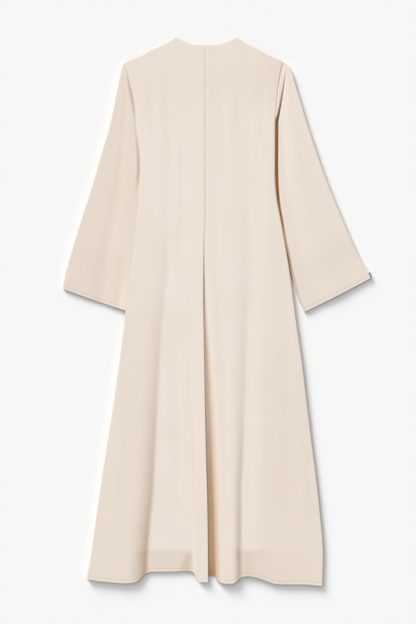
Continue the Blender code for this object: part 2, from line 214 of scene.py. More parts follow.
def curve(*points):
    """A smooth curve through (place, value) points that never overshoots."""
    places = [float(p[0]) for p in points]
    values = [float(p[1]) for p in points]
    count = len(places) - 1
    slopes = [(values[i + 1] - values[i]) / (places[i + 1] - places[i]) for i in range(count)]
    tangents = [slopes[0]]
    for before, after in zip(slopes, slopes[1:]):
        tangents.append(2.0 * before * after / (before + after) if before * after > 0.0 else 0.0)
    tangents.append(slopes[-1])

    def at(place):
        if place <= places[0]:
            return values[0]
        if place >= places[-1]:
            return values[-1]
        i = next(k for k in range(count) if place <= places[k + 1])
        width = places[i + 1] - places[i]
        t = (place - places[i]) / width
        bend = (1.0 - t) * (tangents[i] - slopes[i]) - t * (tangents[i + 1] - slopes[i])
        return values[i] + t * (values[i + 1] - values[i]) + width * t * (1.0 - t) * bend

    return at


def rise(distance, run):
    """Smooth climb from 0 to 1 over the run."""
    share = min(max(distance / run, 0.0), 1.0)
    return share * share * (3.0 - 2.0 * share)


def roll(distance, radius):
    """Quarter-round climb from 0 to 1, upright at the start and level at the end."""
    share = min(max(distance / radius, 0.0), 1.0)
    return math.sqrt(max(0.0, 1.0 - (1.0 - share) ** 2))


def world(across, down, up):
    """A place on the cloth as a point of the frame, in metres."""
    return ((across - MIDDLE_ACROSS) * MM, (MIDDLE_DOWN - down) * MM, up * MM)


# Armhole edge from the shoulder tip to the underarm, then side seam to the hem
left_side = curve((66, -203), (89, -198.3), (122, -191), (148, -184.3), (174, -179.5), (191, -177),
                  (225, -175.5), (276, -169), (314, -165.5), (352, -165), (390, -167.7), (454, -172.8),
                  (531, -180.5), (595, -189.4), (697, -201.4), (773, -210.8), (926, -231.5), (1080, -256),
                  (1232, -278), (1335, -293), (1392, -304))
right_side = curve((66, 201.5), (80, 196), (110, 190.6), (144, 185.6), (176, 183.5), (212, 181),
                   (365, 180.5), (390, 182.4), (416, 185.2), (467, 194.5), (518, 203.6), (595, 216.5),
                   (646, 223.9), (722, 234), (824, 249), (926, 261.4), (1028, 273.6), (1130, 286.6),
                   (1232, 297.6), (1320, 304), (1400, 302))
# Folded edges of the inverted pleat
left_pleat = curve((480, -0.6), (520, -3.6), (670, -4.8), (780, -3.2), (925, -0.8), (1080, 2.4),
                   (1180, 5.2), (1285, 6.8), (1400, 7.4))
right_pleat = curve((480, 0.2), (520, -1.0), (670, 2.0), (780, 8), (925, 15.5), (1080, 22), (1285, 29),
                    (1400, 31.5))
# Lower edge of the hem. It rises where the cloth lies low between the folds
left_hem = curve((-304, 1382), (-280, 1387), (-240, 1391), (-210, 1393.5), (-188, 1393), (-171, 1388.5),
                 (-160, 1376.5), (-149, 1369), (-134, 1365), (-90, 1365), (-50, 1363.5), (-34, 1364.5),
                 (-27, 1368), (-22, 1381), (-16, 1389), (-9, 1391.5), (8, 1391.5))
right_hem = curve((30, 1386), (35, 1389), (45, 1393), (60, 1395), (74, 1393.5), (85, 1386), (95, 1378.5),
                  (108, 1376), (126, 1378), (146, 1384), (167, 1391.5), (182, 1396), (232, 1397),
                  (262, 1397), (282, 1399.5), (304, 1401))
# How far the side edge dips: to meet the sleeve, and further below the cuffs
CUFF_LEVEL = 700.0
SKIRT_DIP = 3.5
SKIRT_DIP_RUN = 60.0
left_dip = curve((66, 0.9), (95, 1.3), (122, 3.0), (150, 4.2), (185, 3.8), (215, 1.5), (250, 1.6),
                 (290, 3.4), (340, 4.2), (370, 3.2), (400, 1.7), (430, 1.2), (CUFF_LEVEL, 1.2))
right_dip = curve((66, 0.8), (185, 1.0), (205, 2.0), (225, 8.0), (400, 8.0), (450, 5.6), (490, 4.0),
                  (590, 4.0), (640, 5.4), (CUFF_LEVEL, 5.0))
# Height of the flat cloth: between the folds, on the left and on the right
left_level = curve((0, 12.5), (120, 14.0), (470, 15.0), (900, 15.5), (1400, 15.2))
right_level = curve((0, 12.5), (120, 14.0), (470, 14.5), (900, 14.0), (1400, 13.0))
# Below the end of the front panels the cloth lies lower: a quarter of the fall
# comes at once, over the step, and the rest over the run
HEM_FALL_FROM = 1306.0
HEM_FALL = 1.0
HEM_FALL_FIRST = 0.25
HEM_FALL_STEP = 18.0
HEM_FALL_RUN = 60.0
left_fall_at = curve((-304, 0.0), (-200, 0.0), (-160, 0.7), (-140, 1.0), (-40, 1.15), (-26, 0.4),
                     (-18, 0.0), (8, 0.0))
right_fall_at = curve((30, 0.0), (78, 0.2), (92, 1.0), (150, 0.75), (172, 0.25), (240, 0.1), (304, 0.0))
# Long folds, which open below the hips: where the crest and the foot run, and how
# far the cloth drops between them. The left one has a low lip along its crest, and
# its foot is rounded by taking the mean of three places across it
FOLDS_START = 560.0
FOLDS_RUN = 300.0
SWELL_MOST = 5.8
swell_crest = curve((560, -146), (646, -150), (926, -167.7), (1080, -178), (1330, -198), (1400, -204))
swell_foot = curve((560, -98), (646, -104), (773, -114), (926, -121.8), (1080, -129), (1156, -133),
                   (1258, -142.5), (1309, -146.5), (1400, -150.5))
swell_drop = curve((560, 0.0), (646, 0.5), (773, 1.4), (926, 2.3), (1080, 3.6), (1200, 4.6), (1309, 5.6),
                   (1400, SWELL_MOST))
SWELL_LIP = 0.5
SWELL_LIP_WIDTH = 45.0
SWELL_ROLL = 2.6
SWELL_FOOT_ROUND = (-5.0, -0.5, 4.0)
# The raised strip along the left side of the pleat, with its flank and its top
strip_start = curve((560, -40), (900, -36), (1130, -31), (1290, -27.5), (1400, -25.5))
strip_top = curve((560, -8), (900, -16), (1130, -20.5), (1400, -21.0))
strip_up = curve((560, 0.0), (780, 0.5), (1080, 1.2), (1200, 1.7), (1306, 2.4), (1400, 3.0))
STRIP_TILT = 0.02
# The round fold on the right of the pleat, from its crest to its foot, and how far
# the cloth falls from that crest to the pleat's right edge
front_crest = curve((560, 42), (700, 50), (926, 60), (1156, 64), (1400, 64))
front_foot = curve((560, 106), (700, 104), (926, 98), (1080, 94), (1156, 90), (1400, 91))
front_up = curve((560, 0.0), (700, 0.5), (926, 1.1), (1080, 2.4), (1232, 3.2), (1290, 3.9), (1330, 4.2),
                 (1400, 4.2))
FRONT_ROLL = 3.4
right_drop = curve((480, 0.6), (560, 1.4), (700, 2.8), (926, 4.6), (1080, 6.0), (1400, 7.0))
RIGHT_EDGE_ROLL = 4.5


def bump_at(place, middle, half):
    """A soft bump from 0 to 1 and back over the half widths."""
    return rise(1.0 - abs(place - middle) / half, 1.0)


def swell_fall(across, down):
    """How far the long fold has fallen away, from 0 at its crest to 1 past its rounded foot."""
    crest = swell_crest(down)
    width = swell_foot(down) - crest
    shares = [min(max((across + off - crest) / width, 0.0), 1.0) for off in SWELL_FOOT_ROUND]
    return sum(share ** SWELL_ROLL for share in shares) / len(shares)


def back_level(side, across, down):
    """Height of a back panel's outer surface, away from its own edges."""
    if side == "left":
        up = left_level(down)
        crest = swell_crest(down)
        lip = SWELL_LIP * swell_drop(down) / SWELL_MOST
        if across < crest:
            up += lip * (1.0 - rise(crest - across, SWELL_LIP_WIDTH))
        else:
            up += lip - (swell_drop(down) + SWELL_LIP) * swell_fall(across, down)
        start = strip_start(down)
        up += strip_up(down) * rise(across - start, strip_top(down) - start)
        up += STRIP_TILT * max(0.0, across - strip_top(down)) * rise(down - FOLDS_START, FOLDS_RUN)
        fall = left_fall_at(across)
    else:
        up = right_level(down)
        crest = front_crest(down)
        if across < crest:
            edge = right_pleat(down)
            away = min((crest - across) / max(crest - edge, 1.0), 1.0)
            up += front_up(down) - (front_up(down) + right_drop(down)) * away ** RIGHT_EDGE_ROLL
        else:
            share = min((across - crest) / (front_foot(down) - crest), 1.0)
            up += front_up(down) * (1.0 - share ** FRONT_ROLL)
        fall = right_fall_at(across)
    below = down - HEM_FALL_FROM
    steady = HEM_FALL_FIRST + (1.0 - HEM_FALL_FIRST) * below / HEM_FALL_RUN
    return up - HEM_FALL * fall * rise(below, HEM_FALL_STEP) * min(1.0, steady)


# Painted shade on the back panels. The open skirt grows a little darker lower
# down, and each long fold darkens towards its foot
UPPER_TONE = 0.035
FOLD_TONE_CURVE = 2.2
# Left: the open skirt, the long fold and how far before its foot the darkest line
# lies, the part below the fronts, the strip's top and flank, and the hollow beside it
LEFT_SKIRT_TONE = 0.08
SWELL_TONE = 0.42
SWELL_DARKEST = 4.0
LEFT_FALL_TONE = 0.12
STRIP_TONE = 0.04
FLANK_TONE = 0.14
HOLLOW_TONE = 0.26
HOLLOW_TOP = 1312.0
HOLLOW_END = 1372.0
# Right: the plain cloth at the top and by the hem, the pleat's edge in the same
# way, the round fold's far side, the part below the fronts, two small hollows near
# the hem, and the shoulder
RIGHT_SKIRT_TONES = (0.03, 0.05)
PLEAT_EDGE_TONES = (0.27, 0.20)
PLEAT_EDGE_WIDTHS = (3.0, 17.0)
PLEAT_EDGE_CURVE = 1.8
ROUND_FOLD_TONE = 0.40
ROUND_FOLD_TONE_LOSS = 0.16
ROUND_FOLD_HEIGHT = 5.4
RIGHT_FALL_TONE = 0.13
CORNER_TONE = 0.22
PATCH_TONE = 0.09
SHOULDER_TONE = 0.045


def upper_painted_shade(down):
    """Painted shade that makes the upper back a touch darker than the skirt."""
    return UPPER_TONE * (1.0 - rise(down - 110.0, 120.0))


def left_painted_shade(across, down):
    """Painted shade of the left back panel, away from its edges."""
    crest = swell_crest(down)
    foot = swell_foot(down)
    before_foot = 1.0 - rise(across - foot, 8.0)
    tone = LEFT_SKIRT_TONE * rise(down - 250.0, 800.0) * before_foot
    if across > crest:
        darkest = foot - SWELL_DARKEST
        share = min((across - crest) / (darkest - crest), 1.0)
        fading = 1.0 - rise(across - darkest, 10.0)
        tone += SWELL_TONE * swell_drop(down) / SWELL_MOST * share ** FOLD_TONE_CURVE * fading
    tone += LEFT_FALL_TONE * min(left_fall_at(across), 1.0) * rise(down - HEM_FALL_FROM, 8.0)
    tone += STRIP_TONE * rise(across - strip_top(down), 4.0) * rise(down - 1000.0, 200.0)
    flank = bump_at(across, strip_start(down) + 4.5, 7.5)
    tone += FLANK_TONE * flank * rise(down - 900.0, 200.0)
    widen = rise(down - HOLLOW_TOP, 45.0)
    beside_strip = 1.0 - rise(across + 32.0, 5.0)
    hollow = bump_at(across, -40.0 - 7.0 * widen, 14.0 + 11.0 * widen) * beside_strip
    tone += HOLLOW_TONE * hollow * rise(down - HOLLOW_TOP, 14.0) * rise(HOLLOW_END - down, 10.0)
    return tone + upper_painted_shade(down)


def right_painted_shade(across, down):
    """Painted shade of the right back panel, away from its edges."""
    crest = front_crest(down)
    foot = front_foot(down)
    tone = RIGHT_SKIRT_TONES[0] + RIGHT_SKIRT_TONES[1] * rise(down - 400.0, 700.0)
    if across < crest:
        opened = rise(down - 520.0, 680.0)
        tone *= rise(crest - across, 24.0)
        width = PLEAT_EDGE_WIDTHS[0] + PLEAT_EDGE_WIDTHS[1] * opened
        near = max(0.0, 1.0 - (across - right_pleat(down)) / width)
        tone += (PLEAT_EDGE_TONES[0] + PLEAT_EDGE_TONES[1] * opened) * near ** PLEAT_EDGE_CURVE
    else:
        share = min((across - crest) / (foot - crest), 1.0)
        before_foot = rise(across - crest, foot - crest) * (1.0 - rise(across - foot, 10.0))
        tone *= before_foot + rise(across - foot - 25.0, 60.0)
        strength = ROUND_FOLD_TONE - ROUND_FOLD_TONE_LOSS * rise(down - 1240.0, 60.0)
        fading = 1.0 - rise(across - foot, 7.5)
        tone += strength * front_up(down) / ROUND_FOLD_HEIGHT * share ** FOLD_TONE_CURVE * fading
    tone += RIGHT_FALL_TONE * min(right_fall_at(across), 1.0) * rise(down - HEM_FALL_FROM, 8.0)
    tone += CORNER_TONE * bump_at(across, 83.0, 7.0) * bump_at(down, 1318.0, 28.0)
    tone += PATCH_TONE * bump_at(across, 112.0, 26.0) * rise(down - 1310.0, 14.0)
    tone += SHOULDER_TONE * rise(across - 90.0, 60.0) * (1.0 - rise(down - 100.0, 90.0))
    return tone + upper_painted_shade(down)


def side_dip(side, down, side_down):
    """How far the side edge dips at one level, for a row that meets the edge at another."""
    dip = left_dip if side == "left" else right_dip
    if side_down < CUFF_LEVEL:
        return dip(down)
    return dip(CUFF_LEVEL) + SKIRT_DIP * rise(side_down - CUFF_LEVEL, SKIRT_DIP_RUN)


def hem_relief(from_hem):
    """The turned hem: a stitched groove, then a band that swells to the fold at the edge."""
    groove = math.exp(-((from_hem - HEM_BAND) / HEM_GROOVE_HALF) ** 2)
    return HEM_SWELL * rise(HEM_SWELL_FROM - from_hem, HEM_SWELL_RUN) - HEM_GROOVE * groove


# The shoulder line falls fast from the neck, then runs straight to the tip
shoulder_line = curve((0, 0), (0.1, 8.0), (0.2, 15.8), (0.45, 31), (0.6, 41.3), (0.8, 53.3), (0.93, 59.8),
                      (1, 65.5))


def neck_or_shoulder(across, neck_drop):
    """How far down the top edge lies, along the neck and the shoulders."""
    neck = NECK_LEFT if across < 0 else NECK_RIGHT
    tip = left_side(SHOULDER_DROP) if across < 0 else right_side(SHOULDER_DROP)
    if abs(across) < abs(neck):
        return neck_drop * (1.0 - abs(across / neck) ** NECK_CURVE)
    return shoulder_line((abs(across) - abs(neck)) / (abs(tip) - abs(neck)))


def stations(length, near_start, near_end, step):
    """Distances along a length: close together at both ends and even between them."""
    start = near_start[-1]
    end = length - near_end[-1]
    count = max(2, round((end - start) / step))
    even = [start + (end - start) * i / count for i in range(count + 1)]
    return list(near_start[:-1]) + even + [length - d for d in near_end[-2::-1]]


# Distances of the first rows or columns from an edge
EDGE_STATIONS = (0.0, 0.25, 0.8, 1.7, 3.0, 5.0, 8.0, 12.0)
HEM_STATIONS = (0.0, 0.3, 1.0, 2.2, 3.6, 5.2, 6.6, 7.4, 8.0, 8.6, 9.4, 11.0, 14.0)
PLEAT_STATIONS = (0.0, 0.12, 0.8, 2.0, 4.0, 6.5, 9.0, 11.5, 14.0, 16.5, 19.0, 21.5, 24.0, 27.0, 30.0, 34.0)


# Slack in the cloth: each soft fold's start and end, both across and down, its half
# width, and its depth, which is below nothing where the cloth stands up instead
SLACK_TAPER = 0.7
LEFT_SLACK = ((-132, 80, -128, 340, 12, 0.60), (-92, 90, -86, 440, 13, 0.55),
              (-50, 230, -60, 620, 15, 0.55), (-97, 500, -88, 660, 12, 0.80),
              (-240, 700, -262, 1250, 18, 0.50), (-205, 820, -232, 1330, 16, -0.45),
              (-72, 760, -64, 1250, 14, 0.60))
RIGHT_SLACK = ((44, 100, 52, 430, 13, 0.65), (84, 80, 92, 320, 13, 0.55), (140, 75, 150, 270, 14, 0.60),
               (112, 420, 128, 760, 15, 0.55), (160, 300, 168, 620, 14, -0.50),
               (196, 620, 236, 1290, 19, 0.60), (142, 700, 150, 1240, 17, -0.55),
               (258, 900, 276, 1330, 16, 0.50))


def soft_folds(side, across, down):
    """How far the slack of a back panel lies below its smooth form."""
    slack = LEFT_SLACK if side == "left" else RIGHT_SLACK
    depth = 0.0
    for top_across, top, low_across, low, half, deep in slack:
        if top < down < low:
            share = (down - top) / (low - top)
            line = top_across + (low_across - top_across) * share
            taper = math.sin(math.pi * share) ** SLACK_TAPER
            depth += deep * taper * math.exp(-((across - line) / half) ** 2)
    return depth


def back_rows(side):
    """Rows of a back panel from the shoulder to the hem, each from the side to the pleat's return."""
    left = side == "left"
    sign = -1.0 if left else 1.0
    side_at = left_side if left else right_side
    pleat_at = left_pleat if left else right_pleat
    hem = left_hem if left else right_hem
    side_roll = LEFT_ROLL if left else RIGHT_ROLL
    edge_tone = WALL_TONE if left else RIGHT_EDGE_TONE
    edge_tone_width = WALL_TONE_WIDTH if left else RIGHT_EDGE_TONE_WIDTH
    tip = side_at(SHOULDER_DROP)
    hem_side = side_at(HEM_LEVEL)
    hem_edge = pleat_at(HEM_LEVEL)
    longest = hem(hem_side) - SHOULDER_DROP
    rows = []
    for travelled in stations(longest, EDGE_STATIONS, HEM_STATIONS, BACK_ROW_STEP):
        along = travelled / longest
        side_down = SHOULDER_DROP + travelled
        start = side_at(side_down)
        edge_down = BACK_NECK_DROP + along * (hem(hem_edge) - BACK_NECK_DROP)
        pleated = edge_down >= PLEAT_TOP
        edge = pleat_at(edge_down) if pleated else sign * CENTRE_GAP
        width = abs(start - edge)
        column_step = BACK_COLUMN_STEP * width / PANEL_WIDTH
        row = []
        for from_side in stations(width, EDGE_STATIONS, PLEAT_STATIONS, column_step):
            share = from_side / width
            across = start - sign * from_side
            top = neck_or_shoulder(tip * (1.0 - share), BACK_NECK_DROP)
            low = hem(hem_side + (hem_edge - hem_side) * share)
            down = top + along * (low - top)
            up = back_level(side, across, down) + hem_relief(low - down) - soft_folds(side, across, down)
            up -= side_dip(side, down, side_down) * (1.0 - roll(from_side, side_roll))
            up -= TOP_TURN * (1.0 - roll(down - top, TOP_ROLL))
            up -= HEM_TURN * (1.0 - roll(low - down, HEM_ROLL))
            # Painted shade: the panel's own, then along its side edge and its top edge, and below along the
            # seam's dip
            tone = left_painted_shade(across, down) if left else right_painted_shade(across, down)
            tone += edge_tone * (1.0 - rise(from_side, edge_tone_width))
            tone += TOP_TONE * (1.0 - rise(down - top, TOP_TONE_WIDTH))
            if not pleated:
                pressed = SEAM_TOP_SHARE + (1.0 - SEAM_TOP_SHARE) * rise(down - 40.0, 160.0)
                seam = math.exp(-((width - from_side) / SEAM_HALF) ** 2) * pressed
                up -= SEAM_DEPTH * seam
                tone += SEAM_TONE * seam
            row.append((across, down, up, tone))
        if pleated:
            row += pleat_return(side, sign, row[-1], hem)
        rows.append(row)
    return rows


# Height of the gore behind the pleat, which the returns lie on. Its left side leans up
gore_level = curve((480, 8.6), (700, 7.6), (1000, 5.4), (1200, 4.4), (1376, 3.0))
GORE_LEAN = 5.0


# The turned cloth: angles round its fold, then points back to its far edge, how it
# sags on its way, how far it stays above the gore and below its own panel, and its
# painted shade inside the pleat, which on the left starts already in the fold
FOLD_ANGLES = (22, 45, 67, 90, 113, 135, 158, 180)
RETURN_POINTS = 8
RETURN_SAG = 1.6
RETURN_SEAT = 1.2
RETURN_CLEAR = 2.8
RETURN_HEM_RISE = 1.0
RETURN_TONE = 0.6
LEFT_FOLD_TONE = 0.22


def pleat_return(side, sign, edge, hem):
    """The panel turned under at the pleat: a round fold, then cloth that lies back."""
    across, down, up, tone = edge
    left = side == "left"
    depth = (LEFT_RETURN if left else RIGHT_RETURN) * rise(down - PLEAT_TOP + RETURN_LEAD, RETURN_RUN)
    depth += RETURN_START
    fold_tone = LEFT_FOLD_TONE if left else 0.0
    points = []
    for angle in FOLD_ANGLES:
        turned = 1.0 - math.cos(math.radians(angle))
        out = across - sign * PLEAT_ROLL * math.sin(math.radians(angle))
        points.append((out, down, up - PLEAT_ROLL * turned, tone + fold_tone * turned))
    start_up = up - 2.0 * PLEAT_ROLL
    lean = GORE_LEAN * rise(down - FOLDS_START, FOLDS_RUN) if left else 0.0
    seat = gore_level(down) + lean + RETURN_SEAT
    for i in range(1, RETURN_POINTS + 1):
        share = i / RETURN_POINTS
        place = across + sign * depth * share
        ceiling = back_level(side, place, down) - RETURN_CLEAR
        hem_rise = hem(place) - hem(across) - RETURN_HEM_RISE
        level = down + hem_rise * rise(down - HEM_SHAPE_FROM, HEM_SHAPE_RUN)
        free = seat + (start_up - seat) * (1.0 - share) ** RETURN_SAG
        points.append((place, level, max(seat, min(free, ceiling)), RETURN_TONE))
    return points


def cloth_sheet(name, rows, material, faces_up=True, ring_length=None):
    """One cut piece of cloth: faces between rows of points, then its wall on the inner side."""
    mesh = bpy.data.meshes.new(name)
    piece = bpy.data.objects.new(name, mesh)
    bpy.context.scene.collection.objects.link(piece)
    shape = bmesh.new()
    pattern = shape.loops.layers.uv.new("cloth")
    # Each point's tone is stored as its painted shade, which the crepe mixes into its colour
    painted_shade_layer = shape.verts.layers.float.new("painted_shade")
    grid = [[shape.verts.new(world(*point[:3])) for point in row] for row in rows]
    place = {vertex: point for points, row in zip(rows, grid) for point, vertex in zip(points, row)}
    for upper, lower in zip(grid, grid[1:]):
        count = min(len(upper), len(lower))
        closed = ring_length is not None and count == ring_length
        for i in range(count if closed else count - 1):
            j = (i + 1) % count
            face = shape.faces.new((upper[i], upper[j], lower[j], lower[i]))
            face.smooth = True
            for loop in face.loops:
                loop[pattern].uv = (place[loop.vert][0] * MM, place[loop.vert][1] * MM)
    for vertex, point in place.items():
        vertex[painted_shade_layer] = min(point[3], 1.0) if len(point) > 3 else 0.0
    shape.normal_update()
    shape.faces.ensure_lookup_table()
    middle = shape.faces[len(grid[0]) // 2]
    if (middle.normal.z > 0.0) != faces_up:
        bmesh.ops.reverse_faces(shape, faces=shape.faces)
    shape.to_mesh(mesh)
    shape.free()
    mesh.materials.append(material)
    wall = piece.modifiers.new("wall", "SOLIDIFY")
    wall.thickness = WALL * MM
    wall.offset = -1.0
    deselect_all()
    bpy.context.view_layer.objects.active = piece
    piece.select_set(True)
    bpy.ops.object.modifier_apply(modifier="wall")
    return piece


# The warm brown that painted shade turns the crepe towards, the colour of deep folds
PAINTED_SHADE_BROWN = "a8793e"


def crepe(name, light, dark, sheen):
    """Cream polyester crepe: a fine pebbled weave with a soft low sheen, a faint uneven dye, and painted
    shade taken from each point's painted_shade value.
    """
    material = bpy.data.materials.new(name)
    material.use_nodes = True
    tree = material.node_tree
    shader = tree.nodes["Principled BSDF"]
    place = add_node(tree, "ShaderNodeTexCoord").outputs["Object"]
    # Crepe threads are about 0.3 mm apart; the grain is drawn at 1.1 mm so that it shows
    grain = add_node(tree, "ShaderNodeTexNoise", [("Vector", place)], scale=900.0, detail=2.0, roughness=0.6)
    # Slubs: threads a little thicker for 20 to 60 mm, running down the cloth
    down_cloth = add_node(tree, "ShaderNodeMapping", [("Vector", place)])
    down_cloth.inputs["Scale"].default_value = (260.0, 14.0, 14.0)
    slub_place = [("Vector", down_cloth.outputs["Vector"])]
    slub = add_node(tree, "ShaderNodeTexNoise", slub_place, scale=1.0, detail=2.0)
    dye = add_node(tree, "ShaderNodeTexNoise", [("Vector", place)], scale=9.0, detail=3.0, roughness=0.55)
    threads = [(0, grain.outputs["Fac"]), (1, slub.outputs["Fac"])]
    mottle = add_node(tree, "ShaderNodeMath", threads, operation="ADD")
    threads_and_dye = [(0, mottle.outputs[0]), (1, dye.outputs["Fac"])]
    dyed = add_node(tree, "ShaderNodeMath", threads_and_dye, operation="ADD")
    ramp = add_node(tree, "ShaderNodeValToRGB")
    ramp.color_ramp.elements[0].position = 0.30
    ramp.color_ramp.elements[0].color = linear(dark)
    ramp.color_ramp.elements[1].position = 0.72
    ramp.color_ramp.elements[1].color = linear(light)
    third = add_node(tree, "ShaderNodeMath", [(0, dyed.outputs[0])], operation="DIVIDE")
    third.inputs[1].default_value = 3.0
    tree.links.new(third.outputs[0], ramp.inputs["Fac"])
    # Painted shade: the colour turns towards a warm brown as far as each point's painted_shade
    # value says, standing in for the brown light deep in a fold
    depth = add_node(tree, "ShaderNodeAttribute", attribute_name="painted_shade")
    painted_shade_links = [(0, depth.outputs["Fac"]), (6, ramp.outputs["Color"])]
    tone = add_node(tree, "ShaderNodeMix", painted_shade_links, data_type="RGBA")
    tone.inputs[7].default_value = linear(PAINTED_SHADE_BROWN)
    tree.links.new(tone.outputs[2], shader.inputs["Base Color"])
    bump = add_node(tree, "ShaderNodeBump", [("Height", mottle.outputs[0])], strength=0.12, distance=0.0003)
    tree.links.new(bump.outputs["Normal"], shader.inputs["Normal"])
    shader.inputs["Roughness"].default_value = 0.72
    shader.inputs["Specular IOR Level"].default_value = 0.25
    shader.inputs["Sheen Weight"].default_value = sheen
    shader.inputs["Sheen Roughness"].default_value = 0.45
    return material


# Stitches, in millimetres, are longer and further apart than real ones so that they
# show. Each is a spindle: shares of its length, and how full it is there. They lie
# in the groove, in the ninth row of points from the edge
STITCH_LENGTH = 2.4
STITCH_STEP = 3.2
STITCH_FORM = ((-0.5, 0.35), (-0.3, 1.0), (0.3, 1.0), (0.5, 0.35))
STITCH_SIDES = 6
STITCH_LIFT = 0.5
STITCH_ROW = 9
THREAD_RADIUS = 0.24


def stitches(name, rows, across_from, across_to):
    """Hem stitches: one small spindle of thread after another, at the inner edge of the turned hem."""
    path = [Vector(world(*point[:3])) for point in rows[-STITCH_ROW] if across_from < point[0] < across_to]
    if path[0].x > path[-1].x:
        path.reverse()
    turns = [math.tau * k / STITCH_SIDES for k in range(STITCH_SIDES)]
    mesh = bpy.data.meshes.new(name)
    shape = bmesh.new()
    travelled = 0.0
    for start, end in zip(path, path[1:]):
        length = (end - start).length
        forward = (end - start).normalized()
        side = forward.cross(Vector((0.0, 0.0, 1.0))).normalized()
        raised = side.cross(forward)
        while travelled < length:
            middle = start + forward * travelled + raised * STITCH_LIFT * THREAD_RADIUS * MM
            rings = []
            for along, girth in STITCH_FORM:
                centre = middle + forward * along * STITCH_LENGTH * MM
                radius = girth * THREAD_RADIUS * MM
                spokes = [side * math.cos(turn) + raised * math.sin(turn) for turn in turns]
                rings.append([shape.verts.new(centre + spoke * radius) for spoke in spokes])
            for first, second in zip(rings, rings[1:]):
                for k in range(STITCH_SIDES):
                    after = (k + 1) % STITCH_SIDES
                    shape.faces.new((first[k], second[k], second[after], first[after])).smooth = True
            shape.faces.new(rings[0])
            shape.faces.new(rings[-1][::-1])
            travelled += STITCH_STEP * MM
        travelled -= length
    bmesh.ops.recalc_face_normals(shape, faces=shape.faces)
    shape.to_mesh(mesh)
    shape.free()
    row = bpy.data.objects.new(name, mesh)
    bpy.context.scene.collection.objects.link(row)
    mesh.materials.append(thread)
    return row


def streaked(name, dark, light, texture, pattern, looks, stretch=None):
    """Thread or satin: a fine texture that runs between two colours, and the looks of its surface."""
    material = bpy.data.materials.new(name)
    material.use_nodes = True
    tree = material.node_tree
    shader = tree.nodes["Principled BSDF"]
    place = add_node(tree, "ShaderNodeTexCoord").outputs["Object"]
    if stretch:
        stretched = add_node(tree, "ShaderNodeMapping", [("Vector", place)])
        stretched.inputs["Scale"].default_value = stretch
        place = stretched.outputs["Vector"]
    streaks = add_node(tree, texture, [("Vector", place)], **pattern)
    ramp = add_node(tree, "ShaderNodeValToRGB", [("Fac", streaks.outputs["Fac"])])
    ramp.color_ramp.elements[0].color = linear(dark)
    ramp.color_ramp.elements[1].color = linear(light)
    tree.links.new(ramp.outputs["Color"], shader.inputs["Base Color"])
    for socket, value in looks.items():
        shader.inputs[socket].default_value = value
    return material


# Spun polyester thread in the cloth's own colour, drawn darker than the cloth as painted
# shade where it sinks in. It is twisted about 8 times in 10 mm
thread = streaked("cream_polyester_thread", "b5a48c", "c6b7a1", "ShaderNodeTexWave",
                  {"scale": 250.0, "distortion": 1.0}, {"Roughness": 0.6, "Sheen Weight": 0.15})

back_crepe = crepe("cream_polyester_crepe", "e6dcd2", "e1d6c9", 0.10)
# Where each row of stitches starts and ends, across the cloth
LEFT_STITCHED = (-300.0, 6.5)
RIGHT_STITCHED = (34.0, 300.0)
for side, stitched in (("left", LEFT_STITCHED), ("right", RIGHT_STITCHED)):
    rows = back_rows(side)
    panel = cloth_sheet("crepe_back_" + side, rows, back_crepe)
    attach(panel, "root")
    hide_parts("back_" + side)
    without_return = [row[:len(rows[0])] for row in rows]
    hem_stitches = stitches("hem_stitches_" + side, without_return, *stitched)
    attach(hem_stitches, "root")


# Pleat gore
# A tapered strip of the same crepe behind the pleat, sewn to the far edges of
# both returns, with its own narrow hem a little above theirs.
GORE_TOP = 500.0
GORE_HEM = 1371.0
GORE_ROW_STEP = 9.0
GORE_COLUMNS = 24
# How far it reaches behind each side of the pleat, at the top and more by the hem
GORE_REACH = 4.0
GORE_REACH_MORE = 22.0
# How much lower each column ends than the one on its left
GORE_SLANT = 0.3
GORE_LEAN_PAST = 2.0
# Painted shade inside the pleat, which deepens towards the hem. Close under the right
# side, where it faces the light, less shade is painted and it is paler
gore_painted_shade = curve((500, 0.15), (700, 0.16), (800, 0.34), (900, 0.38), (1000, 0.52), (1150, 0.72),
                  (1320, 0.76), (1376, 0.95))
LIT_SHARE = 0.4
LIT_WIDTH = 8.0


def gore_rows():
    """Rows of the gore from its top to its hem, each from left to right."""
    rows = []
    for travelled in stations(GORE_HEM - GORE_TOP, EDGE_STATIONS, HEM_STATIONS, GORE_ROW_STEP):
        down = GORE_TOP + travelled
        reach = GORE_REACH + GORE_REACH_MORE * rise(down - GORE_TOP + RETURN_LEAD, RETURN_RUN)
        left = left_pleat(down) - reach
        right = right_pleat(down) + reach
        mouth = right_pleat(down) - left_pleat(down) + GORE_LEAN_PAST
        bent = rise(down - HEM_SHAPE_FROM, HEM_SHAPE_RUN)
        row = []
        for i in range(GORE_COLUMNS + 1):
            across = left + (right - left) * i / GORE_COLUMNS
            lean = GORE_LEAN * (1.0 - rise(across - left_pleat(down), mouth))
            up = gore_level(down) + lean * rise(down - FOLDS_START, FOLDS_RUN) + hem_relief(GORE_HEM - down)
            lit = LIT_SHARE * rise(across - right_pleat(down) + LIT_WIDTH, LIT_WIDTH)
            row.append((across, down + GORE_SLANT * i * bent, up, gore_painted_shade(down) * (1.0 - lit)))
        rows.append(row)
    return rows


inner_crepe = crepe("cream_crepe_inner_side", "e4dacf", "ded2c4", 0.08)
gore = cloth_sheet("crepe_gore", gore_rows(), inner_crepe)
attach(gore, "root")
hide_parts("pleat_gore")


# Front panels
# The two fronts lie flat on the table under the back and meet edge to edge
# down the centre front. They are cut from the same crepe.
FRONT_NECK_DROP = 95.0
FRONT_HEM = 1306.0
FRONT_UP = 0.75
FRONT_STEP = 12.0
